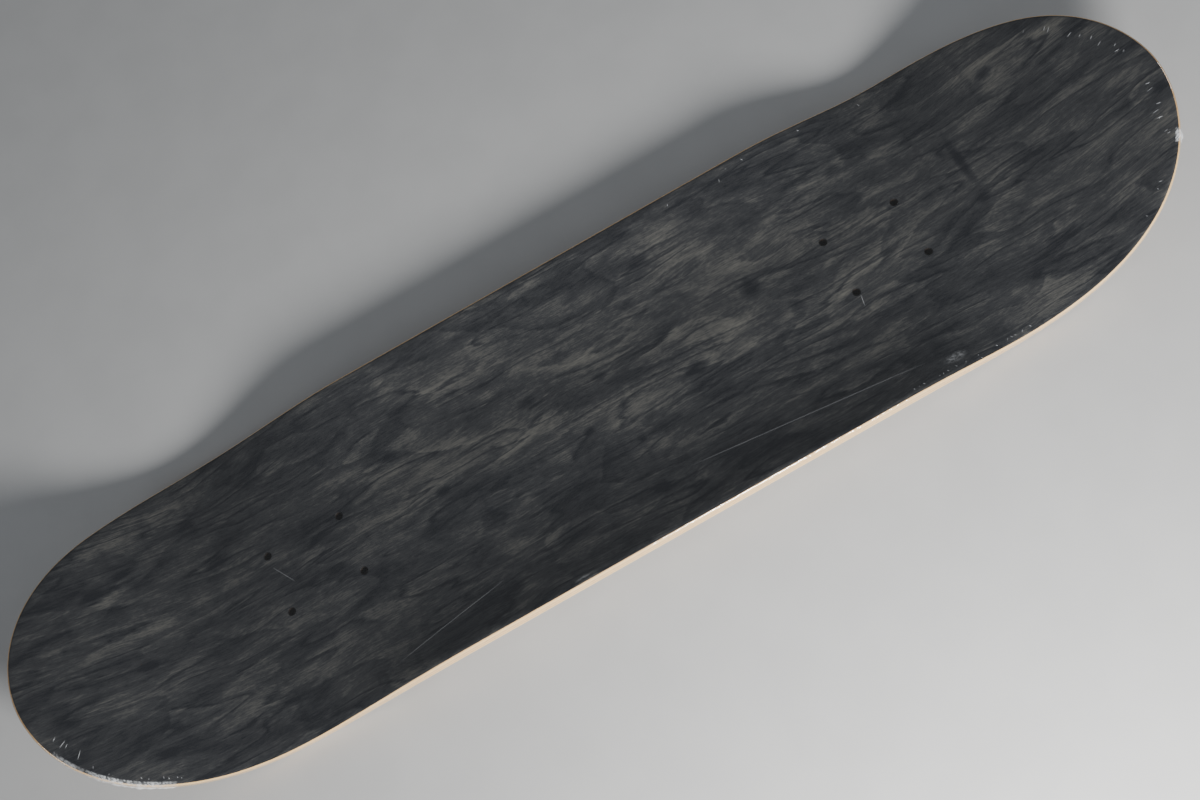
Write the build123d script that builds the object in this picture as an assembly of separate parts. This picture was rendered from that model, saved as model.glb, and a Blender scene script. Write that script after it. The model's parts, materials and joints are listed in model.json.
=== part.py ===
from build123d import *
import os
from dataclasses import dataclass
from math import cos, pi, radians, sin, sqrt, tan

# A blank skateboard deck: seven maple plies pressed into a nose, a tail and a concave, cut to
# outline, drilled for two trucks and sealed in a clear shrink film.
#
# Lengths are in millimetres. The deck is built with X along it towards the nose, Z up, and its
# origin midway between the two bolt patterns, on the top face of the flat strip. Each node is
# written with its origin under the middle of the finished deck, at the height that it rests on.

# Driving dimensions
WIDTH = 203.2  # 8 inches across the top edges; the edge's lean makes the underside 4 mm wider
WHEELBASE = 368.3  # 14.5 inches between the inner rows of bolt holes
BOLT_SPACING_X = 53.975  # the two rows of one truck, 2.125 inches apart
BOLT_SPACING_Y = 41.275  # the two holes of one row, 1.625 inches apart
HOLE_DIAMETER = 5.2  # takes a 10-32 truck bolt
THICKNESS = 11.0
PLY_COUNT = 7
FLAT_HALF_WIDTH = 20.0  # the strip along the middle that the press leaves flat
CONCAVE_RISE = 13.2  # how far the rails stand above the flat strip
EDGE_LEAN = 0.55  # 0 cuts the edge upright, 1 cuts it square to the plies
FILM_THICKNESS = 0.15


@dataclass(frozen=True)
class End:
    """One end of the deck. Its lengths run outwards from the middle of the wheelbase."""

    kick_start: float  # where the deck begins to bend up
    bend_radius: float  # of the top face
    kick_angle: float  # in degrees, beyond the bend
    reach: float  # to the tip
    taper_start: float  # where the outline leaves the straight rail
    taper_power: float  # a higher power keeps the deck wide for longer
    tip_power: float  # 2 is the blunt end of an ellipse, and less is more pointed
    concave_full: float  # the concave has its whole depth up to here
    concave_end: float  # and is gone from here on


NOSE = End(237.0, 254.0, 29.0, 403.5, 208.0, 4.0, 1.85, 168.0, 277.0)
TAIL = End(264.0, 150.0, 29.0, 400.5, 222.0, 3.3, 1.95, 143.0, 262.0)

# Working sizes that follow from the above, or only have to be large enough
PLY = THICKNESS / PLY_COUNT
OVERLAP = 100.0  # how far a cutting solid runs past what it cuts
SHEET_MARGIN_X = 30.0  # how far a pressed sheet runs past the outline
SHEET_MARGIN_Y = 15.0
SHEET_STEP_X = 12.0
SHEET_STEP_Y = 6.0
SHEET_TOLERANCE = 0.02
POINTS_A_STRETCH = 24  # the outline has six stretches: two rails, and a half of each end twice
WALL_FACES = 12  # the edge of the deck is this many faces, end to end
WALL_BOTTOM = -25.0
WALL_TOP = 75.0

PLY_NAMES = (
    "ply_1_stained_top",
    "ply_2_long_grain",
    "ply_3_cross_grain",
    "ply_4_long_grain_core",
    "ply_5_cross_grain",
    "ply_6_long_grain",
    "ply_7_natural_bottom",
)


def end_of(x):
    return NOSE if x > 0 else TAIL


def kick_height(x):
    """Height of the top face's middle line: flat, then an arc, then a straight kick."""
    end = end_of(x)
    angle = radians(end.kick_angle)
    along = max(abs(x) - end.kick_start, 0.0)
    bend = end.bend_radius * sin(angle)
    if along < bend:
        return end.bend_radius - sqrt(end.bend_radius**2 - along**2)
    return end.bend_radius * (1 - cos(angle)) + (along - bend) * tan(angle)


def concave_height(x, y):
    """How far the top face stands above its middle line, from the flat strip out to the rail."""
    end = end_of(x)
    across = max((abs(y) - FLAT_HALF_WIDTH) / (WIDTH / 2 - FLAT_HALF_WIDTH), 0.0)
    faded = (abs(x) - end.concave_full) / (end.concave_end - end.concave_full)
    faded = min(max(faded, 0.0), 1.0)
    left = 1 - faded * faded * (3 - 2 * faded)
    return CONCAVE_RISE * across**2 * left


def top_height(x, y):
    return kick_height(x) + concave_height(x, y)


def normal(x, y):
    """The direction square to the top face at x, y."""
    step = 0.05
    slope_x = (top_height(x + step, y) - top_height(x - step, y)) / (2 * step)
    slope_y = (top_height(x, y + step) - top_height(x, y - step)) / (2 * step)
    return Vector(-slope_x, -slope_y, 1).normalized()


def pressed_point(x, y, depth):
    """The point that lies depth below the top face at x, y."""
    return Vector(x, y, top_height(x, y)) - normal(x, y) * depth


def even_steps(low, high, count):
    return [low + (high - low) * i / count for i in range(count + 1)]


def below(depth):
    """Everything under the pressed sheet that lies depth below the top face."""
    low_x = -TAIL.reach - SHEET_MARGIN_X
    high_x = NOSE.reach + SHEET_MARGIN_X
    high_y = WIDTH / 2 + SHEET_MARGIN_Y
    xs = even_steps(low_x, high_x, round((high_x - low_x) / SHEET_STEP_X))
    ys = even_steps(-high_y, high_y, round(2 * high_y / SHEET_STEP_Y))
    grid = [[pressed_point(x, y, depth) for y in ys] for x in xs]
    sheet = Face.make_surface_from_array_of_points(grid, tol=SHEET_TOLERANCE, min_deg=3)
    return Solid.extrude(sheet, Vector(0, 0, WALL_BOTTOM - OVERLAP))


def end_outline(end, grow):
    """Half of an end's outline, from its tip to its rail, as points x, y."""
    length = end.reach - end.taper_start + grow
    points = []
    for turn in even_steps(0, pi / 2, POINTS_A_STRETCH):
        x = end.taper_start + length * max(cos(turn), 0.0) ** (2 / end.taper_power)
        y = (WIDTH / 2 + grow) * sin(turn) ** (2 / end.tip_power)
        points.append((x, y))
    return points


def outline(grow):
    """The whole outline, grown by a margin, anticlockwise from the tip of the nose."""
    nose = end_outline(NOSE, grow)
    rail_x = even_steps(NOSE.taper_start, -TAIL.taper_start, POINTS_A_STRETCH)[1:-1]
    rail = [(x, WIDTH / 2 + grow) for x in rail_x]
    tail = [(-x, y) for x, y in reversed(end_outline(TAIL, grow))]
    left_half = nose + rail + tail
    right_half = [(x, -y) for x, y in left_half[-2:0:-1]]
    return left_half + right_half


def edge_direction(x, y):
    """The direction in which the edge is cut at x, y."""
    return normal(x, y) * EDGE_LEAN + Vector(0, 0, 1 - EDGE_LEAN)


def wall_ring(level, grow):
    """The closed curve in which the deck's edge, carried on, meets a level plane."""
    ring = []
    for x, y in outline(grow):
        start = pressed_point(x, y, 0)
        lean = edge_direction(x, y)
        ring.append(start + lean * ((level - start.Z) / lean.Z))
    count = len(ring)
    span = count // WALL_FACES
    edges = []
    for first in range(0, count, span):
        last = first + span
        stretch = [ring[i % count] for i in range(first, last + 1)]
        ends = [ring[(i + 1) % count] - ring[i - 1] for i in (first, last % count)]
        edges.append(Edge.make_spline(stretch, tangents=ends))
    return Wire(edges)


def pressed_block(grow):
    """The deck cut to outline, and grown by a margin on every side."""
    rings = [wall_ring(level, grow) for level in (WALL_BOTTOM, WALL_TOP)]
    return (Solid.make_loft(rings, ruled=True) & below(-grow)) - below(THICKNESS + grow)


def bolt_places():
    """The eight bolt holes, x and y."""
    rows = [WHEELBASE / 2, WHEELBASE / 2 + BOLT_SPACING_X]
    return [
        (side * row, place * BOLT_SPACING_Y / 2)
        for side in (-1, 1)
        for row in rows
        for place in (-1, 1)
    ]


def drill(piece):
    """The piece with the eight bolt holes through it."""
    length = 4 * THICKNESS
    hole = Solid.make_cylinder(HOLE_DIAMETER / 2, length, Plane((0, 0, -length / 2)))
    for x, y in bolt_places():
        piece = piece - Pos(x, y, 0) * hole
    return piece


def make_ply(pressed, index):
    """One ply of the pressed deck, counted from the stained top."""
    ply = pressed
    if index > 0:
        ply = ply & below(index * PLY)
    if index < PLY_COUNT - 1:
        ply = ply - below((index + 1) * PLY)
    return drill(ply)


def make_shrink_wrap(pressed):
    """The clear film, drawn tight over the whole deck and open at the bolt holes."""
    return drill(pressed_block(FILM_THICKNESS) - pressed)


def main():
    pressed = pressed_block(0)
    nodes = {name: make_ply(pressed, index) for index, name in enumerate(PLY_NAMES)}
    nodes["shrink_wrap"] = make_shrink_wrap(pressed)
    box = nodes["shrink_wrap"].bounding_box()
    to_base = Pos(-(box.min.X + box.max.X) / 2, 0, -box.min.Z)
    os.makedirs("parts", exist_ok=True)
    for name, node in nodes.items():
        export_step(to_base * node, f"parts/{name}.step")


main()
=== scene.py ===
import json
from dataclasses import dataclass
from math import cos, pi, radians, sin

import bpy
import numpy as np
from mathutils import Matrix, Vector, geometry


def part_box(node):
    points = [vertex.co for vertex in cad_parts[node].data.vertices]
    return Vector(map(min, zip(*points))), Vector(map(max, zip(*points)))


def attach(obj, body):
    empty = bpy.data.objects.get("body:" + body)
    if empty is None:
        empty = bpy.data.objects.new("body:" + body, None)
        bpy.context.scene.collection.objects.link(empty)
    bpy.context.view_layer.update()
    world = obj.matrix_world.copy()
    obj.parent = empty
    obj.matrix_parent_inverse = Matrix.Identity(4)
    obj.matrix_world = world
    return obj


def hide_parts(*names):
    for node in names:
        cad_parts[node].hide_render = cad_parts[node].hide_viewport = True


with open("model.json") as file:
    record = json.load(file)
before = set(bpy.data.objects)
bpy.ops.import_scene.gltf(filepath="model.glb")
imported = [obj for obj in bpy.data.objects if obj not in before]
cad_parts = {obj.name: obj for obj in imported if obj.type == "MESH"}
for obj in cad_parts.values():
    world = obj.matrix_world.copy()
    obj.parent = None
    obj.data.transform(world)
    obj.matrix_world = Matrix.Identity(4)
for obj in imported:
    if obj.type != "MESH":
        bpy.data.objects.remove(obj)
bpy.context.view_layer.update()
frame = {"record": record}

# A blank skateboard deck in clear shrink film: seven maple plies, the top one stained black.
# Lengths are in millimetres until a mesh is made. The deck's own coordinates run along x to the
# nose, along y to the left rail and up z, from the middle of the wheelbase on the top face.

MM = 0.001

# The pressed shape, as in the CAD model
WIDTH = 203.2
THICKNESS = 11.0
FLAT_HALF_WIDTH = 20.0
CONCAVE_RISE = 13.2
EDGE_LEAN = 0.55

# The looks
EDGE_ROUND = 2.2  # the sanded edge
GLUE_GROOVE = 0.07
STAIN_DEPTH = 0.42  # the stain stays near the face, so that sanding the edge takes it off
FILM_GAP = 0.12  # where the skin of the film is drawn, outside the wood
OUTLINE_POINTS = 1000
FILM_OUTLINE_POINTS = 2000
HOLE_SIDES = 28
FACE_STEP = 5.0  # between the points of a face that is seen
HIDDEN_STEP = 16.0  # and of one that is glued to the next ply
POINT_CLEARANCE = 1.5  # loose points of a plan stay this far from its lines
COLLARS = (1.15, 1.5)  # rings of points round a bolt hole, as shares of its radius
SHARP_ANGLE = 40.0  # edges sharper than this, in degrees, stay sharp
SEED = 11


@dataclass(frozen=True)
class End:
    """One end of the deck. Its lengths run outwards from the middle of the wheelbase."""

    kick_start: float
    bend_radius: float
    kick_angle: float
    reach: float
    taper_start: float
    taper_power: float
    tip_power: float
    concave_full: float
    concave_end: float


NOSE = End(237.0, 254.0, 29.0, 403.5, 208.0, 4.0, 1.85, 168.0, 277.0)
TAIL = End(264.0, 150.0, 29.0, 400.5, 222.0, 3.3, 1.95, 143.0, 262.0)

PLIES = (
    ("ply_1_stained_top", "stained_maple", False),
    ("ply_2_long_grain", "long_grain_maple", False),
    ("ply_3_cross_grain", "cross_grain_maple", True),
    ("ply_4_long_grain_core", "long_grain_maple", False),
    ("ply_5_cross_grain", "cross_grain_maple", True),
    ("ply_6_long_grain", "long_grain_maple", False),
    ("ply_7_natural_bottom", "natural_maple_face", False),
)
PLY = THICKNESS / len(PLIES)

ROUNDING_RINGS = 7
GLUE_STEP = 0.12  # how far the groove at a glue line reaches up or down the edge
RING_GAP = 0.15  # the rings of the rounding keep this far from a glue line


# ---------------------------------------------------------------- the deck's place in the frame


def mounts():
    """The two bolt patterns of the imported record, tail first."""
    found = [m for m in frame["record"]["mounts"] if m["kind"] == "bolt_pattern"]
    return sorted(found, key=lambda m: m["pos_m"][0])


TAIL_MOUNT, NOSE_MOUNT = mounts()
MIDDLE_X = (TAIL_MOUNT["pos_m"][0] + NOSE_MOUNT["pos_m"][0]) / 2 / MM
TOP_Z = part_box("ply_7_natural_bottom")[0][2] / MM + THICKNESS
HOLE_RADIUS = TAIL_MOUNT["dims"]["hole_r_mm"]


def bolt_places():
    """The eight holes, in the deck's own coordinates."""
    places = []
    for mount in (TAIL_MOUNT, NOSE_MOUNT):
        centre = mount["pos_m"][0] / MM - MIDDLE_X
        for side in (-1, 1):
            for place in (-1, 1):
                x = centre + side * mount["dims"]["spacing_x_mm"] / 2
                y = place * mount["dims"]["spacing_y_mm"] / 2
                places.append((x, y))
    return places


def to_frame(points):
    """The deck's own millimetres as metres in the shared frame."""
    return (np.asarray(points) + np.array([MIDDLE_X, 0.0, TOP_Z])) * MM


# ---------------------------------------------------------------- the pressed sheet


def by_end(x, name):
    return np.where(x > 0, getattr(NOSE, name), getattr(TAIL, name))


def smoothstep(value):
    value = np.clip(value, 0.0, 1.0)
    return value * value * (3 - 2 * value)


def top_height(x, y):
    """Height of the top face: the kicks, and the concave between them."""
    radius = by_end(x, "bend_radius")
    angle = np.radians(by_end(x, "kick_angle"))
    along = np.maximum(np.abs(x) - by_end(x, "kick_start"), 0.0)
    bend = radius * np.sin(angle)
    arc = radius - np.sqrt(radius**2 - np.minimum(along, bend) ** 2)
    kick = arc + np.maximum(along - bend, 0.0) * np.tan(angle)
    across = np.maximum((np.abs(y) - FLAT_HALF_WIDTH) / (WIDTH / 2 - FLAT_HALF_WIDTH), 0.0)
    full = by_end(x, "concave_full")
    faded = smoothstep((np.abs(x) - full) / (by_end(x, "concave_end") - full))
    return kick + CONCAVE_RISE * across**2 * (1 - faded)


def normals(x, y):
    step = 0.05
    slope_x = (top_height(x + step, y) - top_height(x - step, y)) / (2 * step)
    slope_y = (top_height(x, y + step) - top_height(x, y - step)) / (2 * step)
    out = np.stack([-slope_x, -slope_y, np.ones_like(slope_x)], axis=-1)
    return out / np.linalg.norm(out, axis=-1, keepdims=True)


def pressed(xy, depth):
    """The points that lie depth below the top face."""
    x, y = xy[:, 0], xy[:, 1]
    top = np.stack([x, y, top_height(x, y)], axis=-1)
    return top - normals(x, y) * np.reshape(depth, (-1, 1))


def outline(count):
    """The outline as evenly spaced points, anticlockwise from the tip of the nose."""
    turns = np.linspace(0, pi / 2, 400)
    quarter = {}
    for end in (NOSE, TAIL):
        length = end.reach - end.taper_start
        x = end.taper_start + length * np.cos(turns).clip(0) ** (2 / end.taper_power)
        y = WIDTH / 2 * np.sin(turns) ** (2 / end.tip_power)
        quarter[end] = np.stack([x, y], axis=-1)
    nose = quarter[NOSE]
    tail = quarter[TAIL][::-1] * [-1, 1]
    half = np.vstack([nose, tail])
    loop = np.vstack([half, half[-2::-1] * [1, -1]])
    length = np.concatenate([[0], np.cumsum(np.linalg.norm(np.diff(loop, axis=0), axis=1))])
    places = np.linspace(0, length[-1], count, endpoint=False)
    return np.stack([np.interp(places, length, loop[:, i]) for i in (0, 1)], axis=-1)


def inward(loop):
    """The directions in the plan that point from a loop into the deck."""
    along = np.roll(loop, -1, axis=0) - np.roll(loop, 1, axis=0)
    for _ in range(3):
        along = (np.roll(along, 1, axis=0) + along + np.roll(along, -1, axis=0)) / 3
    along /= np.linalg.norm(along, axis=1, keepdims=True)
    return np.stack([-along[:, 1], along[:, 0]], axis=-1)


def edge_inset(depth):
    """How far the rounded edge lies inside the outline at a depth."""
    near = min(depth, THICKNESS - depth)
    if near >= EDGE_ROUND:
        return 0.0
    return EDGE_ROUND - np.sqrt(EDGE_ROUND**2 - (EDGE_ROUND - max(near, 0.0)) ** 2)


def edge_ring(loop, inset, depth):
    """A ring of the deck's edge. The edge leans with the pressed sheet."""
    xy = loop + inward(loop) * inset
    square = normals(xy[:, 0], xy[:, 1])
    lean = square * EDGE_LEAN + np.array([0, 0, 1 - EDGE_LEAN])
    travel = depth / np.sum(lean * square, axis=1, keepdims=True)
    return pressed(xy, 0.0) - lean * travel


# ---------------------------------------------------------------- meshes


def circle(x, y, radius, count):
    turns = np.arange(count) * 2 * pi / count
    return np.stack([x + radius * np.cos(turns), y + radius * np.sin(turns)], axis=-1)


def loop_edges(start, count):
    return [(start + i, start + (i + 1) % count) for i in range(count)]


def inside_by(points, loop, margin):
    """Which points lie inside a loop by at least a margin."""
    ahead = np.roll(loop, -1, axis=0)
    kept = np.zeros(len(points), bool)
    for i, (x, y) in enumerate(points):
        span = (loop[:, 1] > y) != (ahead[:, 1] > y)
        rise = np.where(span, ahead[:, 1] - loop[:, 1], 1.0)
        cross = loop[:, 0] + (y - loop[:, 1]) / rise * (ahead[:, 0] - loop[:, 0])
        within = np.count_nonzero(span & (x < cross)) % 2 == 1
        near = np.min(np.hypot(loop[:, 0] - x, loop[:, 1] - y))
        kept[i] = within and near > margin
    return kept


def chain_edges(start, count):
    return [(start + i, start + i + 1) for i in range(count - 1)]


def fill(loop, step, holes=(), dots=(), lines=()):
    """Triangles over the plan inside a loop. Dots are loose points, and lines are kept as edges.

    Returns the plan's points, the loop's first, and the triangles.
    """
    xs = np.arange(loop[:, 0].min(), loop[:, 0].max(), step)
    ys = np.arange(loop[:, 1].min(), loop[:, 1].max(), step)
    grid = np.array([(x + (j % 2) * step / 2, y) for j, y in enumerate(ys) for x in xs])
    grid = grid[inside_by(grid, loop, step * 0.6)]
    for near in (*holes, *dots, *lines):
        low = near.min(axis=0) - POINT_CLEARANCE
        high = near.max(axis=0) + POINT_CLEARANCE
        close = np.all((grid > low) & (grid < high), axis=1)
        gap = np.array([np.min(np.hypot(*(near - p).T)) for p in grid[close]])
        drop = np.flatnonzero(close)[gap < POINT_CLEARANCE] if len(gap) else []
        grid = np.delete(grid, drop, axis=0)
    for x, y in bolt_places():
        grid = grid[np.hypot(grid[:, 0] - x, grid[:, 1] - y) > HOLE_RADIUS * 2]
    stacked = np.vstack([loop, *holes, *lines, *dots, grid])
    edges = []
    start = 0
    for ring in (loop, *holes):
        edges += loop_edges(start, len(ring))
        start += len(ring)
    for line in lines:
        edges += chain_edges(start, len(line))
        start += len(line)
    inside_only = 1
    found = geometry.delaunay_2d_cdt([Vector(p) for p in stacked], edges, [], inside_only, 1e-4)
    plan = np.array([tuple(p) for p in found[0]])
    if len(plan) != len(stacked):
        raise ValueError("two points of a sheet's plan coincide, or two of its lines cross")
    triangles = np.array(found[2])
    centre = plan[triangles].mean(axis=1)
    for hole in holes:
        middle = hole.mean(axis=0)
        radius = np.hypot(*(hole[0] - middle))
        outside = np.hypot(*(centre - middle).T) > radius * 0.98
        triangles, centre = triangles[outside], centre[outside]
    a, b, c = (plan[triangles[:, i]] for i in range(3))
    turn = (b[:, 0] - a[:, 0]) * (c[:, 1] - a[:, 1]) - (b[:, 1] - a[:, 1]) * (c[:, 0] - a[:, 0])
    triangles[turn < 0] = triangles[turn < 0][:, ::-1]
    return plan, triangles


def wall(first, second, count):
    """Quads between a ring and the one below it, given where each starts."""
    return [
        (first + i, second + i, second + (i + 1) % count, first + (i + 1) % count)
        for i in range(count)
    ]


def new_piece(name, points, faces, facts, node, material):
    """A piece from points in the deck's millimetres. Facts are numbers its material reads."""
    mesh = bpy.data.meshes.new(name)
    mesh.from_pydata([tuple(p) for p in to_frame(points)], [], faces)
    for fact, values in facts.items():
        layer = mesh.attributes.new(fact, "FLOAT", "POINT")
        layer.data.foreach_set("value", np.asarray(values, np.float32))
    mesh.shade_smooth()
    mesh.set_sharp_from_angle(angle=radians(SHARP_ANGLE))
    mesh.materials.append(material)
    piece = bpy.data.objects.new(name, mesh)
    bpy.context.scene.collection.objects.link(piece)
    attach(piece, "root")
    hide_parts(node)
    return piece


# ---------------------------------------------------------------- the plies


def ring_depths(top, bottom):
    """Depths of the rings of one ply's edge: its two glue lines, and the rounding between."""
    depths = {top, bottom}
    for turn in np.linspace(0, pi / 2, ROUNDING_RINGS):
        rounding = EDGE_ROUND * (1 - cos(turn))
        for depth in (rounding, THICKNESS - rounding):
            if top + RING_GAP < depth < bottom - RING_GAP:
                depths.add(depth)
    if top > 0:
        depths.add(top + GLUE_STEP)
    if bottom < THICKNESS:
        depths.add(bottom - GLUE_STEP)
    return sorted(depths)


def ply_piece(index, sheet, material):
    """One ply as a closed solid: two pressed faces, a sanded edge and eight holes."""
    node, slot, _ = PLIES[index]
    top, bottom = index * PLY, (index + 1) * PLY
    bottom = THICKNESS if index == len(PLIES) - 1 else bottom
    plan, triangles = sheet
    count = OUTLINE_POINTS
    under = len(plan)
    depths = ring_depths(top, bottom)
    rims = []
    for depth in depths:
        glued = depth in (top, bottom) and 0 < depth < THICKNESS
        inset = edge_inset(depth) + (GLUE_GROOVE if glued else 0.0)
        rims.append(edge_ring(OUTLINE, inset, depth))
    points = [rims[0], pressed(plan[count:], top), rims[-1], pressed(plan[count:], bottom)]
    depth_of = [np.full(under, top), np.full(under, bottom)]
    faces = [tuple(t) for t in triangles.tolist()]
    faces += [tuple(under + i for i in reversed(t)) for t in triangles.tolist()]
    above, start = 0, 2 * under
    for depth, rim in zip(depths[1:-1], rims[1:-1]):
        points.append(rim)
        depth_of.append(np.full(count, depth))
        faces += wall(above, start, count)
        above, start = start, start + count
    faces += wall(above, under, count)
    first = count
    for _ in bolt_places():
        for i in range(HOLE_SIDES):
            a, b = first + i, first + (i + 1) % HOLE_SIDES
            faces.append((a, b, under + b, under + a))
        first += HOLE_SIDES
    facts = {"depth": np.concatenate(depth_of) - top}
    name = node.replace("ply", "veneer")
    return new_piece(name, np.vstack(points), faces, facts, node, material)


# ---------------------------------------------------------------- the film


@dataclass(frozen=True)
class Pleat:
    """A ridge where the film goes over the edge, square to it."""

    place: float  # along the outline from the tip of the nose, as a share of it
    width: float
    height: float


@dataclass(frozen=True)
class Crease:
    """A sharp straight ridge in the film on the top face, between two points of the plan."""

    start: tuple
    end: tuple
    height: float
    half_width: float = 0.35


# Groups of pleats and short creases, as shares of the outline: from the tip of the nose round
# the left rail, the tail at 0.5 and the right rail back to the nose
# how many, from, to, highest
PLEAT_GROUPS = (
    (60, 0.90, 1.10, 0.22),  # round the nose
    (60, 0.41, 0.60, 0.22),  # round the tail
    (60, 0.80, 0.90, 0.40),  # the right rail, up to the nose
    (30, 0.60, 0.80, 0.12),
    (30, 0.11, 0.39, 0.12),
)

# how many, from, to, nearest and furthest start inside the outline, longest, furthest lean
CREASE_GROUPS = (
    (18, -0.022, 0.050, 7.0, 9.5, 4.5, 0.4),  # a row of dashes inside the rim of the nose
    (16, 0.535, 0.565, 3.3, 4.2, 2.4, 1.0),  # beside the seal
    (18, 0.835, 0.895, 3.3, 3.8, 2.4, 1.2),  # the right rail, up to the nose
    (5, 0.94, 0.975, 4.2, 8.0, 3.0, 0.8),
    (6, 0.09, 0.20, 4.2, 9.0, 3.0, 0.8),
)

CREASE_GAP = 1.6  # short creases keep this far from each other
CREASE_POINT_STEP = 2.5  # between the points along a crease
CREASE_FOOT_MARGIN = 0.3  # a crease's feet stop this far short of its ends

FILM_BORDER = 2.9  # how far inside the outline the film's flat face ends and its edge begins
DIMPLE = 0.2  # how far the film is drawn down into a bolt hole
DIMPLE_RINGS = (0.4, 0.7, 1.0, 1.4)  # rings of points in a dimple, as shares of the hole's radius
DIMPLE_SIDES = 18

CREASE_HAZE = 1.3  # how milky the film turns for each millimetre that a crease stands up

LONG_CREASES = (
    Crease((-187.0, -86.5), (-104.0, -73.0), 0.10, 0.4),
    Crease((32.0, -68.0), (196.0, -86.0), 0.10, 0.4),
    Crease((185.5, -23.6), (183.5, -32.0), 0.22, 0.35),
    Crease((-238.0, 12.0), (-228.0, -4.0), 0.10, 0.35),
    Crease((-388.4, -32.2), (-386.4, -29.4), 0.40, 0.25),
    Crease((-386.6, -37.4), (-382.4, -33.8), 0.45, 0.25),
    Crease((-384.0, -38.8), (-382.0, -36.4), 0.40, 0.25),
    Crease((-380.2, -48.4), (-377.2, -43.0), 0.45, 0.25),
)

# The sealed end of the bag stands out from the edge: place on the outline, half length, reach
SEAL_FINS = (
    (0.548, 0.014, 1.7),
    (0.528, 0.006, 0.9),
    (0.972, 0.0022, 2.6),
)
SEAL_HAZE = 2.4  # how milky the crumpled film turns for each millimetre that it stands out
CRUMPLE = 0.20  # how high the crumpled film over a fin stands, as a share of the fin's reach
FIN_DEPTH = THICKNESS * 0.45
FIN_HALF_THICKNESS = 1.3
MOST_SEAL_HAZE = 0.7


def film_rings():
    """The film's rings over the edge, from the top round to the bottom, as inset, depth and turn.

    The turn is the angle between up and the way that the film faces.
    """
    rings = [(FILM_BORDER, 0.0, 0.0)]
    for turn in np.linspace(0, pi / 2, ROUNDING_RINGS):
        rings.append((EDGE_ROUND * (1 - sin(turn)), EDGE_ROUND * (1 - cos(turn)), turn))
    for share in (0.33, 0.67):
        rings.append((0.0, EDGE_ROUND + (THICKNESS / 2 - EDGE_ROUND) * share, pi / 2))
    below = [(inset, THICKNESS - depth, pi - turn) for inset, depth, turn in rings]
    return [*rings, (0.0, THICKNESS / 2, pi / 2), *reversed(below)]


def random_pleats(rng):
    """The pleats of all the groups, spread at random."""
    pleats = []
    for count, low, high, highest in PLEAT_GROUPS:
        for _ in range(count):
            place = rng.uniform(low, high)
            pleats.append(Pleat(place, rng.uniform(0.6, 1.4), highest * rng.uniform(0.3, 1.0)))
    return pleats


def random_creases(rng, loop):
    """The short creases of all the groups, each clear of those before it."""
    inner = inward(loop)
    creases = list(LONG_CREASES)
    for count, low, high, nearest, furthest, longest, lean in CREASE_GROUPS:
        for _ in range(count):
            i = int(rng.uniform(low, high) * len(loop)) % len(loop)
            aside = np.array([inner[i][1], -inner[i][0]])
            way = inner[i] + aside * rng.uniform(-lean, lean)
            way /= np.hypot(*way)
            start = loop[i] + inner[i] * rng.uniform(nearest, furthest)
            end = start + way * longest * rng.uniform(0.35, 1.0)
            height = rng.uniform(0.15, 0.40)
            spots = start + (end - start) * np.linspace(0, 1, 9)[:, None]
            if all(distance_to(spots, other)[0].min() > CREASE_GAP for other in creases):
                creases.append(Crease(tuple(start), tuple(end), height))
    return creases


def distance_to(plan, crease):
    """How far points of the plan are from a crease, and how far along it they come."""
    start, end = np.array(crease.start), np.array(crease.end)
    length = np.hypot(*(end - start))
    along = np.clip((plan - start) @ (end - start) / length, 0, length)
    nearest = start + along[:, None] * (end - start) / length
    return np.hypot(*(plan - nearest).T), along / length


def crease_lines(crease):
    """The middle and the two feet of a crease, as lines for the film's plan."""
    start, end = np.array(crease.start), np.array(crease.end)
    length = np.hypot(*(end - start))
    across = np.array([-(end - start)[1], (end - start)[0]]) / length
    lines = []
    for side in (-1, 0, 1):
        margin = 0.0 if side == 0 else CREASE_FOOT_MARGIN / length
        count = max(int(length / CREASE_POINT_STEP), 3)
        steps = np.linspace(margin, 1 - margin, count)[:, None]
        lines.append(start + (end - start) * steps + crease.half_width * side * across)
    return lines


def crease_height(plan, creases):
    """The lift of the creases at points of the plan. A crease tapers to nothing at its ends."""
    height = np.zeros(len(plan))
    for crease in creases:
        gap, share = distance_to(plan, crease)
        taper = np.clip(np.minimum(share, 1 - share) * 5, 0.0, 1.0) ** 0.7
        ridge = crease.height * taper * np.clip(1 - gap / crease.half_width, 0, 1)
        height = np.maximum(height, ridge)
    return height


def pleat_heights(rings, loop, pleats):
    """How far the pleats lift each point of each ring: most at the top of the rounding."""
    count = len(loop)
    length = np.sum(np.hypot(*(np.roll(loop, -1, axis=0) - loop).T))
    shares = np.arange(count) / count
    ridges = np.zeros(count)
    for pleat in pleats:
        off = ((shares - pleat.place + 0.5) % 1.0 - 0.5) * length
        ridges = np.maximum(ridges, pleat.height * np.exp(-((off / pleat.width) ** 2)))
    by_turn = np.array([abs(cos(turn - pi / 6)) for _, _, turn in rings])
    by_turn[[0, -1]] = 0.0
    return by_turn[:, None] * ridges[None, :]


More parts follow.
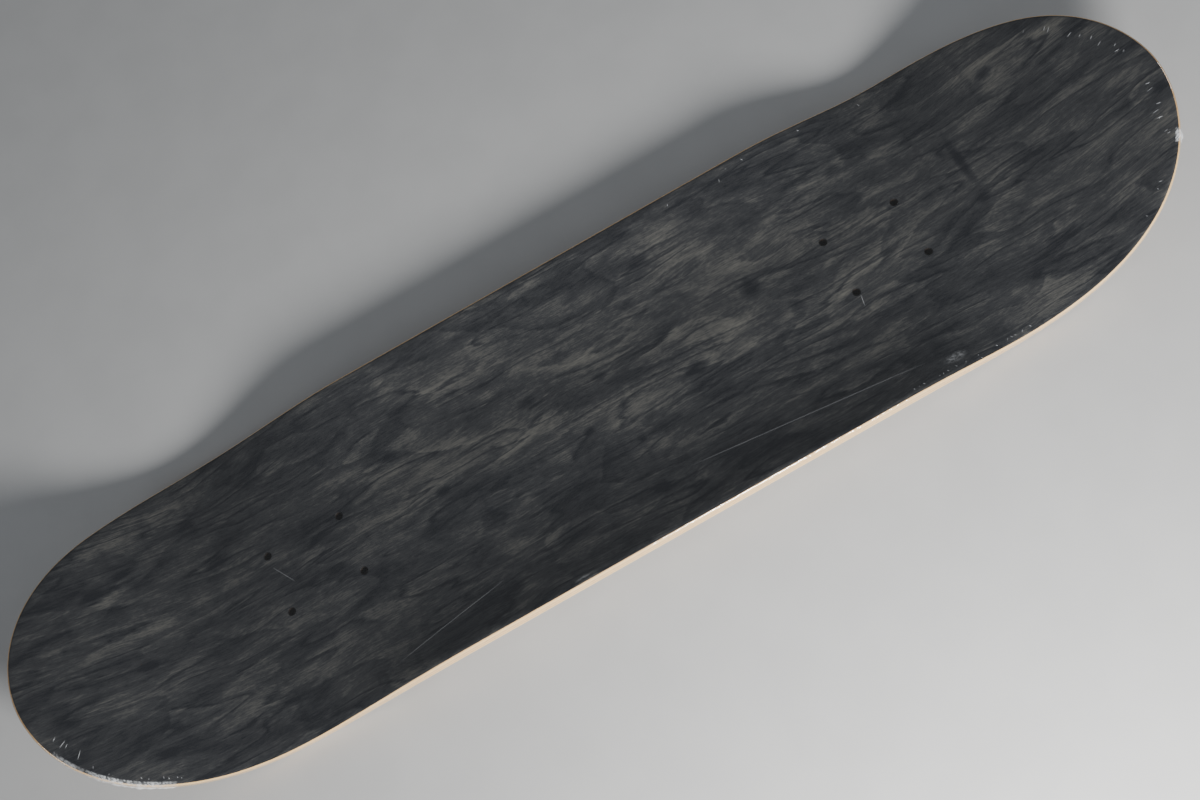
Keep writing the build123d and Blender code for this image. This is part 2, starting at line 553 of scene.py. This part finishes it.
def fin_heights(rings, loop, rng):
    """The ragged fins where the bag was sealed, and the film that is crumpled above them."""
    count = len(loop)
    shares = np.arange(count) / count
    heights = np.zeros((len(rings), count))
    for place, half_length, reach in SEAL_FINS:
        off = ((shares - place + 0.5) % 1.0 - 0.5) / half_length
        body = np.clip(1 - off**2, 0, 1) ** 0.5
        ragged = body * np.convolve(rng.uniform(0.1, 1.1, count), (0.25, 0.5, 0.25), "same")
        for i, (inset, depth, turn) in enumerate(rings):
            if turn == pi / 2:
                fin = ragged * np.exp(-(((depth - FIN_DEPTH) / FIN_HALF_THICKNESS) ** 2))
            else:
                crumple = rng.uniform(0.0, CRUMPLE, count)
                fin = body * crumple * (depth < FIN_DEPTH) * (inset < EDGE_ROUND + 0.1)
            heights[i] = np.maximum(heights[i], reach * fin)
    return heights


def ring_direction(loop, ring):
    """Away from the wood, at each point of a ring."""
    inset, _, turn = ring
    inner = inward(loop)
    xy = loop + inner * inset
    outward = np.hstack([-inner, np.zeros((len(loop), 1))])
    return normals(xy[:, 0], xy[:, 1]) * cos(turn) + outward * sin(turn)


def dimple_depth(plan):
    """How far the film is drawn down into the bolt holes."""
    drop = np.zeros(len(plan))
    for x, y in bolt_places():
        gap = np.hypot(plan[:, 0] - x, plan[:, 1] - y) / HOLE_RADIUS
        drop = np.maximum(drop, DIMPLE * np.clip(1 - gap**2, 0, 1) ** 2)
    return drop


def film_piece(material):
    """The film as one closed skin round the deck, pleated over the edge and creased on top."""
    rng = np.random.default_rng(SEED)
    loop = outline(FILM_OUTLINE_POINTS)
    count = FILM_OUTLINE_POINTS
    rings = film_rings()
    fins = fin_heights(rings, loop, rng)
    lifts = pleat_heights(rings, loop, random_pleats(rng)) + fins
    creases = random_creases(rng, loop)
    points = []
    faces = []
    for i, (ring, lift) in enumerate(zip(rings, lifts)):
        rim = edge_ring(loop, ring[0], ring[1])
        points.append(rim + ring_direction(loop, ring) * (FILM_GAP + lift)[:, None])
        if i > 0:
            faces += wall((i - 1) * count, i * count, count)
    haze = [np.clip(fins.ravel() * SEAL_HAZE, 0, MOST_SEAL_HAZE)]
    inner = loop + inward(loop) * rings[0][0]
    dots = [np.array([[x, y]]) for x, y in bolt_places()]
    for x, y in bolt_places():
        dots += [circle(x, y, HOLE_RADIUS * share, DIMPLE_SIDES) for share in DIMPLE_RINGS]
    start = len(rings) * count
    for side in (1, -1):
        here = creases if side == 1 else []
        lines = [line for crease in here for line in crease_lines(crease)]
        plan, triangles = fill(inner, FACE_STEP, dots=dots, lines=lines)
        loose = plan[count:]
        depth = 0.0 if side == 1 else THICKNESS
        lift = FILM_GAP - dimple_depth(loose) + crease_height(loose, here)
        square = normals(loose[:, 0], loose[:, 1])
        points.append(pressed(loose, depth) + square * (side * lift)[:, None])
        border = 0 if side == 1 else (len(rings) - 1) * count
        index = np.concatenate([np.arange(count) + border, np.arange(len(loose)) + start])
        turned = triangles if side == 1 else triangles[:, ::-1]
        faces += [tuple(t) for t in index[turned].tolist()]
        start += len(loose)
        haze.append(crease_height(loose, here) * CREASE_HAZE)
    facts = {"haze": np.concatenate(haze)}
    skin = np.vstack(points)
    return new_piece("film_skin", skin, faces, facts, "shrink_wrap", material)


# ---------------------------------------------------------------- materials


class Graph:
    """The nodes of one material. Patterns are placed in millimetres on the deck's own axes."""

    def __init__(self, name):
        self.material = bpy.data.materials.new(name)
        self.material.use_nodes = True
        self.tree = self.material.node_tree
        self.tree.nodes.clear()
        self.object_place = self.add("ShaderNodeTexCoord").outputs["Object"]

    def add(self, kind, inputs=None, **settings):
        node = self.tree.nodes.new(kind)
        for key, value in settings.items():
            setattr(node, key, value)
        for key, value in (inputs or {}).items():
            self.feed(node.inputs[key], value)
        return node

    def feed(self, socket, value):
        if isinstance(value, bpy.types.NodeSocket):
            self.tree.links.new(value, socket)
        else:
            socket.default_value = value

    def place(self, size, warp=None):
        """Coordinates in which a feature of this size, in millimetres, is one unit. 0 flattens."""
        scale = [1 / (length * MM) if length else 0.0 for length in size]
        source = self.object_place if warp is None else warp
        mapped = self.add("ShaderNodeMapping", {"Vector": source, "Scale": scale})
        return mapped.outputs[0]

    def noise(self, place, detail=2.0, roughness=0.5, distortion=0.0):
        inputs = {
            "Vector": place,
            "Scale": 1.0,
            "Detail": detail,
            "Roughness": roughness,
            "Distortion": distortion,
        }
        return self.add("ShaderNodeTexNoise", inputs).outputs["Fac"]

    def math(self, operation, first, second=0.0, third=0.0):
        inputs = {0: first, 1: second, 2: third}
        return self.add("ShaderNodeMath", inputs, operation=operation).outputs[0]

    def span(self, value, low, high, to_low=0.0, to_high=1.0):
        """Value taken smoothly from low..high to to_low..to_high."""
        inputs = {0: value, 1: low, 2: high, 3: to_low, 4: to_high}
        node = self.add("ShaderNodeMapRange", interpolation_type="SMOOTHSTEP")
        for key, each in inputs.items():
            self.feed(node.inputs[key], each)
        return node.outputs[0]

    def mix(self, share, first, second, blend="MIX"):
        node = self.add("ShaderNodeMix", data_type="RGBA", blend_type=blend)
        for key, value in ((0, share), (6, first), (7, second)):
            self.feed(node.inputs[key], value)
        return node.outputs[2]

    def painted_hole_shade_mask(self):
        """1 inside the bolt holes and on their walls, where shade is painted into the colour. The
        eight are folded onto one of them.
        """
        split = self.add("ShaderNodeSeparateXYZ", {"Vector": self.object_place})
        first, last = bolt_places()[-1], bolt_places()[-4]
        outer_x, inner_x = max(first[0], last[0]), min(first[0], last[0])
        x = self.math("ABSOLUTE", self.math("ADD", split.outputs[0], -MIDDLE_X * MM))
        x = self.math("ABSOLUTE", self.math("ADD", x, -(outer_x + inner_x) / 2 * MM))
        x = self.math("ADD", x, -(outer_x - inner_x) / 2 * MM)
        y = self.math("ABSOLUTE", split.outputs[1])
        y = self.math("ADD", y, -abs(first[1]) * MM)
        off = self.add("ShaderNodeCombineXYZ", {"X": x, "Y": y}).outputs[0]
        far = self.add("ShaderNodeVectorMath", {0: off}, operation="LENGTH").outputs["Value"]
        return self.span(far, HOLE_RADIUS * 1.2 * MM, HOLE_RADIUS * 1.03 * MM)

    def normal(self):
        return self.add("ShaderNodeNewGeometry").outputs["Normal"]

    def bump(self, strength, height, relief):
        """The surface's normal under a relief of this height, in millimetres."""
        inputs = {"Strength": strength, "Distance": height * MM, "Height": relief}
        return self.add("ShaderNodeBump", inputs).outputs[0]

    def fact(self, name):
        return self.add("ShaderNodeAttribute", attribute_name=name).outputs["Fac"]

    def finish(self, shader):
        output = self.add("ShaderNodeOutputMaterial")
        self.tree.links.new(shader, output.inputs["Surface"])
        return self.material


def rgb(red, green, blue):
    return (red, green, blue, 1.0)


# How high the fine relief of each stands
WOOD_RELIEF = 0.2
FILM_RELIEF = 0.4


# Pin knots and dark flecks in the stained face: x, y, half length, half width
KNOTS = (
    (-346.0, 47.0, 6.0, 3.5),
    (-326.0, 54.0, 7.0, 3.0),
    (-331.0, -10.0, 6.0, 4.0),
    (-115.0, 0.0, 5.0, 3.0),
    (-39.0, 25.0, 6.0, 3.0),
    (11.0, 15.0, 5.0, 3.0),
    (70.0, -11.0, 7.0, 4.0),
    (127.0, 17.0, 6.5, 7.0),
    (147.0, -8.0, 5.0, 4.0),
    (11.0, -71.0, 6.0, 5.0),
    (71.0, 71.0, 8.0, 3.0),
    (286.0, -11.0, 5.0, 4.0),
    (288.0, 19.0, 3.0, 17.0),
    (396.0, -14.0, 5.0, 3.0),
    (-12.0, -12.0, 4.0, 2.5),
    (-270.0, 34.0, 9.0, 4.0),
    (-200.0, -12.0, 7.0, 3.0),
    (-338.0, -69.0, 6.0, 3.0),
    (215.0, 62.0, 6.0, 3.0),
    (330.0, 60.0, 5.0, 3.0),
)


@dataclass
class Figure:
    """The sockets that carry the parts of a veneer's figure."""

    ring: object
    late: object
    clear: object
    cloud: object
    mottle: object
    pale: object
    dark: object
    plate: object
    hair: object
    knots: object


# Pools of painted light on the stained face, lightest in the middle towards the left rail: x, y,
# half length, half width
PAINTED_LIGHT_PATCHES = (
    (70.0, 22.0, 210.0, 48.0),
    (330.0, 55.0, 60.0, 22.0),
)

# Milky patches of doubled film: x, y, half length, half width
HAZE_PATCHES = (
    (211.5, -91.5, 6.5, 2.6),
    (-60.0, -98.0, 5.0, 1.0),
)


def spots(g, place, patches, inner=0.25, outer=1.5):
    """1 in the heart of each patch of the plan, fading out over its size."""
    total = 0.0
    for x, y, half_length, half_width in patches:
        centre = ((x + MIDDLE_X) * MM, y * MM, 0.0)
        off = g.add("ShaderNodeVectorMath", {0: place, 1: centre}, operation="SUBTRACT").outputs[0]
        scale = (1 / (half_length * MM), 1 / (half_width * MM), 0.0)
        off = g.add("ShaderNodeVectorMath", {0: off, 1: scale}, operation="MULTIPLY").outputs[0]
        far = g.add("ShaderNodeVectorMath", {0: off}, operation="LENGTH").outputs["Value"]
        total = g.math("MAXIMUM", g.span(far, outer, inner), total)
    return total


GRAIN_SWAY = 16.0  # the grain wanders by this much from side to side


def veneer_figure(g):
    """The figure of a rotary-cut face, each part as a number from about 0 to 1."""
    bend = g.noise(g.place((120, 45, 0)), 2.0)
    sway = g.math("MULTIPLY_ADD", bend, GRAIN_SWAY * MM, -GRAIN_SWAY / 2 * MM)
    shift = g.add("ShaderNodeCombineXYZ", {"Y": sway}).outputs[0]
    bent = g.add("ShaderNodeVectorMath", {0: g.object_place, 1: shift}, operation="ADD").outputs[0]
    feather = g.noise(g.place((9, 1.2, 0), bent), 3.0, 0.65)
    ragged = g.noise(g.place((30, 6, 0), bent), 3.0, 0.6)
    contour = g.noise(g.place((210, 24, 0), bent), 2.0, 0.5, 0.3)
    contour = g.math("MULTIPLY_ADD", ragged, 0.07, contour)
    contour = g.math("MULTIPLY_ADD", feather, 0.035, contour)
    ring = g.math("FRACT", g.math("MULTIPLY", contour, 9.0))
    broad = g.noise(g.place((170, 52, 0), bent), 2.0, 0.5, 0.3)
    broad = g.math("MULTIPLY_ADD", ragged, 0.06, broad)
    broad = g.math("MULTIPLY_ADD", feather, 0.022, broad)
    plate = g.math("FRACT", g.math("MULTIPLY", broad, 7.0))
    clear = g.span(g.noise(g.place((55, 20, 0), bent), 2.0), 0.40, 0.58, 0.15, 1.0)
    late = g.math("MULTIPLY", g.span(ring, 0.0, 0.05), g.span(ring, 0.25, 0.05))
    return Figure(
        ring=g.math("MULTIPLY", ring, g.span(ring, 1.0, 0.9)),
        late=g.math("MULTIPLY", clear, late),
        clear=clear,
        plate=g.math("MULTIPLY", plate, g.span(plate, 1.0, 0.93)),
        cloud=g.noise(g.place((70, 24, 0), bent), 4.0, 0.62, 0.5),
        mottle=g.noise(g.place((14, 5, 0), bent), 4.0, 0.7, 0.5),
        pale=g.noise(g.place((26, 0.8, 0), bent), 3.0, 0.7),
        dark=g.noise(g.place((60, 2.2, 0), bent), 4.0, 0.6),
        hair=g.noise(g.place((4, 0.5, 0), bent), 2.0, 0.75),
        knots=spots(g, bent, KNOTS),
    )


FIBRE_LENGTH = 22.0
FIBRES_PER_MM = 4.0


def sanded_edge(g, depth, cross_grain):
    """A sanded edge's colour, relief and pores: long fibres with the grain, pores across it."""
    split = g.add("ShaderNodeSeparateXYZ", {"Vector": g.object_place})
    layers = g.math("MULTIPLY", depth, FIBRES_PER_MM)
    flat = g.add(
        "ShaderNodeCombineXYZ",
        {
            "X": g.math("MULTIPLY", split.outputs[0], 1 / (FIBRE_LENGTH * MM)),
            "Y": g.math("MULTIPLY", split.outputs[1], 1 / (FIBRE_LENGTH * MM)),
            "Z": layers,
        },
    ).outputs[0]
    fibres = g.noise(flat, 3.0, 0.6)
    pores = g.noise(g.place((0.7, 0.7, 1.6)), 2.0, 0.6)
    side = g.add("ShaderNodeSeparateXYZ", {"Vector": g.normal()}).outputs[1]
    side = g.math("ABSOLUTE", side)
    end_grain = side if cross_grain else g.math("SUBTRACT", 1.0, side)
    end_grain = g.span(end_grain, 0.15, 0.85)
    long_colour = g.mix(g.span(fibres, 0.3, 0.7), rgb(0.90, 0.65, 0.33), rgb(0.80, 0.53, 0.25))
    end_colour = g.mix(g.span(pores, 0.35, 0.65), rgb(0.74, 0.49, 0.24), rgb(0.50, 0.29, 0.13))
    colour = g.mix(end_grain, long_colour, end_colour)
    glue = g.math("MINIMUM", depth, g.math("SUBTRACT", PLY, depth))
    glue = g.span(glue, 0.14, 0.02)
    colour = g.mix(g.math("MULTIPLY", glue, 0.55), colour, rgb(0.26, 0.15, 0.07))
    scorch = g.noise(g.place((60, 60, 60)), 3.0)
    colour = g.mix(g.span(scorch, 0.5, 0.75, 0.0, 0.22), colour, rgb(0.50, 0.33, 0.18))
    relief = g.math("ADD", g.math("MULTIPLY", fibres, 0.5), g.math("MULTIPLY", pores, end_grain))
    return colour, relief, pores


def stained_maple():
    """Black stain on maple: grey fibres where it took least, and dark rings, clouds and knots."""
    g = Graph("stained_maple")
    figure = veneer_figure(g)
    bars = g.noise(g.place((10, 130, 0)), 2.0, 0.5)
    thread = g.math("MULTIPLY", g.span(figure.dark, 0.43, 0.49), g.span(figure.dark, 0.55, 0.50))
    # each part: how strongly it lightens the stain, and the value that leaves it as it is
    parts = (
        (figure.cloud, 1.30, 0.50),
        (figure.plate, 0.24, 0.45),
        (figure.mottle, 0.60, 0.50),
        (g.math("MULTIPLY", figure.ring, figure.clear), 0.24, 0.30),
        (figure.late, -0.28, 0.05),
        (thread, -0.12, 0.10),
        (figure.pale, 0.55, 0.50),
        (figure.hair, 0.85, 0.50),
        (g.span(bars, 0.55, 0.75), -0.08, 0.10),
        (figure.knots, -0.40, 0.0),
        # painted light: the stained face is lightened over these pools
        (spots(g, g.object_place, PAINTED_LIGHT_PATCHES), 0.17, 0.0),
    )
    tone = 0.36
    for part, weight, neutral in parts:
        tone = g.math("MULTIPLY_ADD", part, weight, g.math("ADD", tone, -weight * neutral))
    ramp = g.add("ShaderNodeValToRGB", {"Fac": tone})
    stops = ramp.color_ramp.elements
    stops[0].position, stops[0].color = 0.0, rgb(0.009, 0.0102, 0.0135)
    stops[1].position, stops[1].color = 1.0, rgb(0.118, 0.115, 0.103)
    middle = stops.new(0.45)
    middle.color = rgb(0.033, 0.0342, 0.0370)
    depth = g.fact("depth")
    raw, _, _ = sanded_edge(g, depth, False)
    worn = g.math("MULTIPLY_ADD", figure.hair, STAIN_DEPTH * 0.6, depth)
    colour = g.mix(g.span(worn, STAIN_DEPTH * 1.2, STAIN_DEPTH * 1.6), ramp.outputs[0], raw)
    # painted shade: the hole walls of the stained ply are darkened to near black
    colour = g.mix(g.painted_hole_shade_mask(), colour, rgb(0.012, 0.012, 0.013))
    relief = g.math("MULTIPLY_ADD", figure.pale, 0.6, g.math("MULTIPLY", figure.hair, 0.4))
    bump = g.bump(0.35, WOOD_RELIEF, relief)
    shader = g.add(
        "ShaderNodeBsdfPrincipled",
        {
            "Base Color": colour,
            "Roughness": g.span(tone, 0.0, 0.9, 0.42, 0.62),
            "Specular IOR Level": 0.2,
            "Normal": bump,
        },
    )
    return g.finish(shader.outputs[0])


def raw_maple_edge(name, cross_grain):
    """An inner ply, of which only the sanded edge and the hole walls are seen."""
    g = Graph(name)
    colour, relief, pores = sanded_edge(g, g.fact("depth"), cross_grain)
    # painted shade: the hole walls of an inner ply are darkened to dark brown
    colour = g.mix(g.painted_hole_shade_mask(), colour, rgb(0.05, 0.03, 0.02))
    bump = g.bump(0.4, WOOD_RELIEF, relief)
    shader = g.add(
        "ShaderNodeBsdfPrincipled",
        {
            "Base Color": colour,
            "Roughness": g.span(pores, 0.3, 0.7, 0.55, 0.75),
            "Specular IOR Level": 0.3,
            "Normal": bump,
        },
    )
    return g.finish(shader.outputs[0])


def natural_maple():
    """The undyed face below: pale maple with faint rings, fibres and a few pin knots."""
    g = Graph("natural_maple")
    figure = veneer_figure(g)
    colour = g.mix(g.span(figure.cloud, 0.3, 0.7), rgb(0.80, 0.63, 0.43), rgb(0.70, 0.51, 0.32))
    colour = g.mix(g.math("MULTIPLY", figure.late, 0.6), colour, rgb(0.54, 0.36, 0.20))
    colour = g.mix(g.span(figure.dark, 0.5, 0.7, 0.0, 0.35), colour, rgb(0.55, 0.38, 0.22))
    colour = g.mix(g.span(figure.hair, 0.5, 0.75, 0.0, 0.25), colour, rgb(0.86, 0.72, 0.53))
    colour = g.mix(g.math("MULTIPLY", figure.knots, 0.7), colour, rgb(0.22, 0.12, 0.06))
    # painted shade: the hole walls of the bottom ply are darkened to dark brown
    colour = g.mix(g.painted_hole_shade_mask(), colour, rgb(0.10, 0.06, 0.035))
    relief = g.math("MULTIPLY_ADD", figure.pale, 0.6, g.math("MULTIPLY", figure.hair, 0.4))
    bump = g.bump(0.3, WOOD_RELIEF, relief)
    shader = g.add(
        "ShaderNodeBsdfPrincipled",
        {
            "Base Color": colour,
            "Roughness": g.span(figure.pale, 0.3, 0.7, 0.48, 0.62),
            "Specular IOR Level": 0.35,
            "Normal": bump,
        },
    )
    return g.finish(shader.outputs[0])


FACING_REFLECTION = 0.075  # what the film mirrors where it is seen square on


def clear_film():
    """Clear shrink film: it passes what is behind it, mirrors a little, milky where doubled.

    Its reflection is the same from both sides, so that light leaves the deck as it came.
    """
    g = Graph("clear_film")
    ripple = g.noise(g.place((28, 16, 28)), 3.0, 0.5, 0.4)
    fine = g.noise(g.place((3.0, 2.2, 3.0)), 2.0, 0.5)
    relief = g.math("MULTIPLY_ADD", fine, 0.05, ripple)
    bump = g.bump(0.35, FILM_RELIEF, relief)
    clear = g.add("ShaderNodeBsdfTransparent", {"Color": rgb(0.985, 0.99, 0.995)})
    gloss = g.add(
        "ShaderNodeBsdfGlossy",
        {"Color": rgb(1, 1, 1), "Roughness": 0.07, "Normal": bump},
    )
    facing = g.add("ShaderNodeLayerWeight", {"Blend": 0.5, "Normal": bump})
    edge_on = g.math("POWER", facing.outputs["Facing"], 5.0)
    mirror = g.math("MULTIPLY_ADD", edge_on, 1 - FACING_REFLECTION, FACING_REFLECTION)
    skin = g.add("ShaderNodeMixShader", {0: mirror, 1: clear.outputs[0], 2: gloss.outputs[0]})
    milk = g.add("ShaderNodeBsdfDiffuse", {"Color": rgb(0.80, 0.83, 0.86)})
    speck = g.noise(g.place((3.0, 1.2, 3.0)), 3.0, 0.7)
    upward = g.add("ShaderNodeSeparateXYZ", {"Vector": g.normal()}).outputs[2]
    top = g.span(upward, 0.4, 0.7)
    patch = g.math("MULTIPLY", spots(g, g.object_place, HAZE_PATCHES), top)
    patch = g.math("MULTIPLY", patch, g.span(speck, 0.42, 0.62, 0.02, 0.17))
    haze = g.math("ADD", g.fact("haze"), patch)
    whole = g.add("ShaderNodeMixShader", {0: haze, 1: skin.outputs[0], 2: milk.outputs[0]})
    return g.finish(whole.outputs[0])


def pale_floor():
    g = Graph("pale_floor")
    grain = g.noise(g.place((40, 40, 40)), 4.0)
    colour = g.mix(g.span(grain, 0.3, 0.7), rgb(0.505, 0.51, 0.515), rgb(0.525, 0.53, 0.535))
    shader = g.add("ShaderNodeBsdfPrincipled", {"Base Color": colour, "Roughness": 0.85})
    return g.finish(shader.outputs[0])


# ---------------------------------------------------------------- the studio

# The camera's place and target are in the deck's own millimetres. The lights' are in metres.
CAMERA_PLACE = (0.8, -234.8, 729.6)
CAMERA_TARGET = (4.0, 1.4, 0.0)
CAMERA_ROLL = -28.76
CAMERA_LENS = 35.02
SENSOR_WIDTH = 36.0

FLOOR_REACH = 6.0
WORLD_STRENGTH = 0.21
KEY_COLOUR = (1.0, 0.985, 0.955)
SIDE_COLOUR = (0.88, 0.94, 1.0)


def aim(place, target, roll=0.0):
    """A matrix at a place that looks along its own -Z to a target, then rolls about its view."""
    turn = (Vector(target) - Vector(place)).to_track_quat("-Z", "Y").to_matrix().to_4x4()
    return Matrix.Translation(place) @ turn @ Matrix.Rotation(radians(roll), 4, "Z")


def make_camera():
    data = bpy.data.cameras.new("camera")
    data.lens = CAMERA_LENS
    data.sensor_width = SENSOR_WIDTH
    data.clip_start = 0.01
    camera = bpy.data.objects.new("camera", data)
    bpy.context.scene.collection.objects.link(camera)
    place, target = to_frame([CAMERA_PLACE, CAMERA_TARGET])
    camera.matrix_world = aim(place, target, CAMERA_ROLL)
    bpy.context.scene.camera = camera


def make_light(name, place, target, size, watts, colour):
    data = bpy.data.lights.new(name, "AREA")
    data.shape = "DISK"
    data.size = size
    data.energy = watts
    data.color = colour
    light = bpy.data.objects.new(name, data)
    light.matrix_world = aim(place, target)
    bpy.context.scene.collection.objects.link(light)


def make_floor():
    mesh = bpy.data.meshes.new("floor")
    reach = FLOOR_REACH
    corners = [(-reach, -reach, 0), (reach, -reach, 0), (reach, reach, 0), (-reach, reach, 0)]
    mesh.from_pydata(corners, [], [(0, 1, 2, 3)])
    mesh.materials.append(pale_floor())
    floor = bpy.data.objects.new("floor", mesh)
    bpy.context.scene.collection.objects.link(floor)


def make_world():
    world = bpy.data.worlds.new("studio")
    world.use_nodes = True
    background = world.node_tree.nodes["Background"]
    background.inputs["Color"].default_value = rgb(0.93, 0.96, 1.0)
    background.inputs["Strength"].default_value = WORLD_STRENGTH
    bpy.context.scene.world = world


def make_studio():
    make_world()
    make_floor()
    make_camera()
    make_light("key", (0.12, -0.80, 0.36), (0.05, 0.04, 0.0), 0.28, 18.0, KEY_COLOUR)
    make_light("right", (1.2, 0.1, 0.55), (0.3, 0.0, 0.0), 0.35, 1.6, SIDE_COLOUR)
    make_light("left", (-1.2, -0.3, 0.5), (-0.3, 0.0, 0.0), 0.35, 1.4, SIDE_COLOUR)


# ---------------------------------------------------------------- the deck

OUTLINE = outline(OUTLINE_POINTS)


def make_deck():
    rim = OUTLINE + inward(OUTLINE) * EDGE_ROUND
    holes = [circle(x, y, HOLE_RADIUS, HOLE_SIDES) for x, y in bolt_places()]
    collars = []
    for x, y in bolt_places():
        collars += [circle(x, y, HOLE_RADIUS * share, HOLE_SIDES) for share in COLLARS]
    fine = fill(rim, FACE_STEP, holes=holes, dots=collars)
    coarse = fill(rim, HIDDEN_STEP, holes=holes)
    materials = {
        "stained_maple": stained_maple(),
        "long_grain_maple": raw_maple_edge("long_grain_maple", False),
        "cross_grain_maple": raw_maple_edge("cross_grain_maple", True),
        "natural_maple_face": natural_maple(),
    }
    for index, (_, slot, _) in enumerate(PLIES):
        outer = index in (0, len(PLIES) - 1)
        ply_piece(index, fine if outer else coarse, materials[slot])
    film_piece(clear_film())


make_deck()
make_studio()
